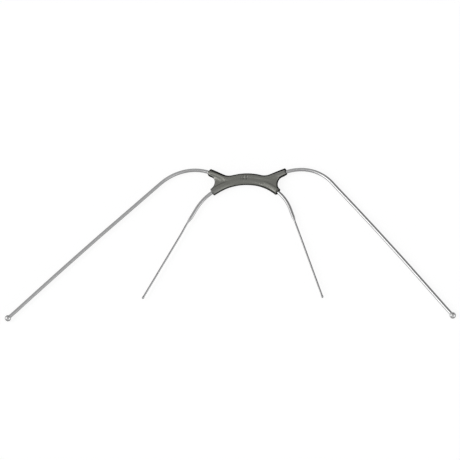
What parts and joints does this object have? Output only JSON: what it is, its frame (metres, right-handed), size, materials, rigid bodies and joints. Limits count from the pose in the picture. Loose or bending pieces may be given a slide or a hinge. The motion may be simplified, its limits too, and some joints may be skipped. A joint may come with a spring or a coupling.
{
  "type": "cheek retractor",
  "caption": "Self-retaining wire cheek retractor: two spring bows held side by side in a moulded saddle, with ball-ended arms that spread the cheeks.",
  "frame": {"origin": "middle of the saddle's flat underside, on the surface the retractor lies on", "axes": "+X across the device, +Y towards the top of the saddle so that the arms point to -Y, +Z out of the plane of the wires"},
  "size_m": [0.1966, 0.066, 0.0027],
  "materials": {
    "saddle_plastic": "satin",
    "spring_wire": "polished",
    "thin_spring_wire": "polished",
    "polished_ball": "mirror polished"
  },
  "bodies": {
    "bridge": {"saddle": "saddle_plastic", "outer_bow": "spring_wire", "inner_bow": "spring_wire"},
    "outer_left": {"outer_arm_left": "spring_wire", "ball_tip_left": "polished_ball"},
    "outer_right": {"outer_arm_right": "spring_wire", "ball_tip_right": "polished_ball"},
    "inner_left": {"inner_arm_left": "thin_spring_wire"},
    "inner_right": {"inner_arm_right": "thin_spring_wire"}
  },
  "joints": [
    {"name": "outer_flex_left", "type": "hinge", "parent": "bridge", "child": "outer_left", "pos_m": [-0.03238, 0.00188, 0.0014], "axis": [0, 0, 1], "range_deg": [-10, 25], "stiffness_Nm_per_rad": 0.78},
    {"name": "outer_flex_right", "type": "hinge", "parent": "bridge", "child": "outer_right", "pos_m": [0.03238, 0.00188, 0.0014], "axis": [0, 0, -1], "range_deg": [-10, 25], "stiffness_Nm_per_rad": 0.78},
    {"name": "inner_flex_left", "type": "hinge", "parent": "bridge", "child": "inner_left", "pos_m": [-0.02569, -0.02365, 0.0014], "axis": [0, 0, 1], "range_deg": [-10, 18], "stiffness_Nm_per_rad": 0.14},
    {"name": "inner_flex_right", "type": "hinge", "parent": "bridge", "child": "inner_right", "pos_m": [0.02569, -0.02365, 0.0014], "axis": [0, 0, -1], "range_deg": [-10, 18], "stiffness_Nm_per_rad": 0.14}
  ]
}
